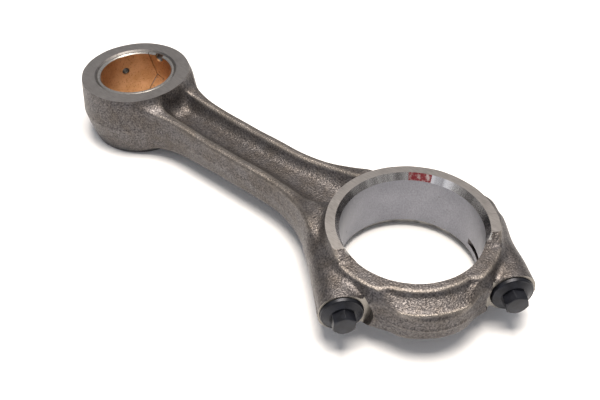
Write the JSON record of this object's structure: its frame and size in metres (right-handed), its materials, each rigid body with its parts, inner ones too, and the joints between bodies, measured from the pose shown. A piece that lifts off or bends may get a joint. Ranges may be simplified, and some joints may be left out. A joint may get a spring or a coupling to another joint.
{
  "type": "connecting rod",
  "caption": "Forged connecting rod with a bushed small end, an I-section shank and a big end split on a slant, whose cap is held by flanged bolts.",
  "frame": {"origin": "centre of the big-end bore, on the rod's mid-plane", "axes": "+Z along both bores, +X along the rod from the small end to the big end"},
  "size_m": [0.2931, 0.1133, 0.038],
  "materials": {
    "forged_steel": "shot-blasted forging, ground and bored on its working faces",
    "bush_steel": "turned",
    "bronze": "fine-bored bronze lining",
    "bolt_steel": "black oxide"
  },
  "bodies": {
    "rod": {"rod_body": "forged_steel", "small_end_bush_backing": "bush_steel", "small_end_bush_lining": "bronze"},
    "cap": {"bearing_cap": "forged_steel"},
    "bolt_side": {"cap_bolt_side": "bolt_steel"},
    "bolt_foot": {"cap_bolt_foot": "bolt_steel"}
  },
  "joints": [
    {"name": "cap_lift", "type": "slide", "parent": "rod", "child": "cap", "axis": [0.749, -0.6626, 0], "range_m": [0, 0.045]},
    {"name": "bolt_side_unscrew", "type": "slide", "parent": "cap", "child": "bolt_side", "axis": [0.749, -0.6626, 0], "range_m": [0, 0.06]},
    {"name": "bolt_foot_unscrew", "type": "slide", "parent": "cap", "child": "bolt_foot", "axis": [0.749, -0.6626, 0], "range_m": [0, 0.06]}
  ]
}
